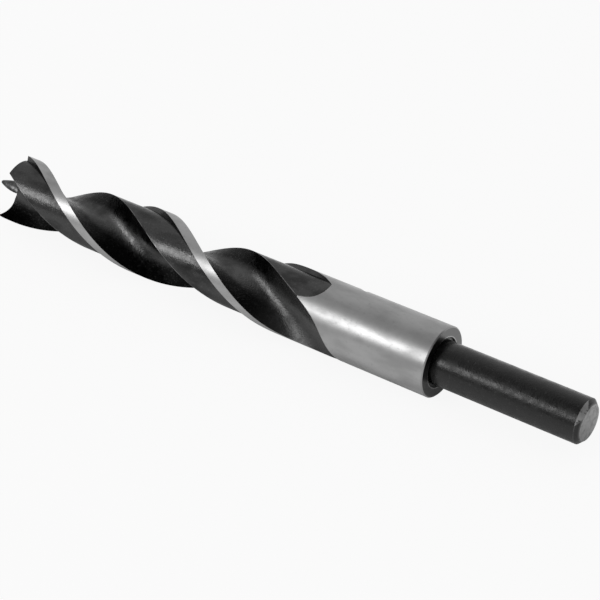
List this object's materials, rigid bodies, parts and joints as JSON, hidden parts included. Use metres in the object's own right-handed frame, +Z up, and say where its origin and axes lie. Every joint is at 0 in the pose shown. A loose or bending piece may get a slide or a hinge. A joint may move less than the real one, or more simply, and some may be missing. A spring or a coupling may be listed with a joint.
{
  "type": "brad point drill bit",
  "caption": "Brad point drill bit for wood with helical flutes, outer spurs, a centre spike and a reduced straight shank, one piece of steel.",
  "frame": {"origin": "on the axis, in the plane of the shoulder where the body steps down to the shank", "axes": "+X along the axis out of the shank's end, the centre spike at the -X end, +Z up with the bit lying on its side"},
  "size_m": [0.16, 0.016, 0.016],
  "materials": {
    "tool_steel": "bright ground on the body and the helical margins, black oxide in the flutes and on the lands, shoulder and shank"
  },
  "bodies": {
    "root": {"drill_bit": "tool_steel"}
  },
  "joints": []
}
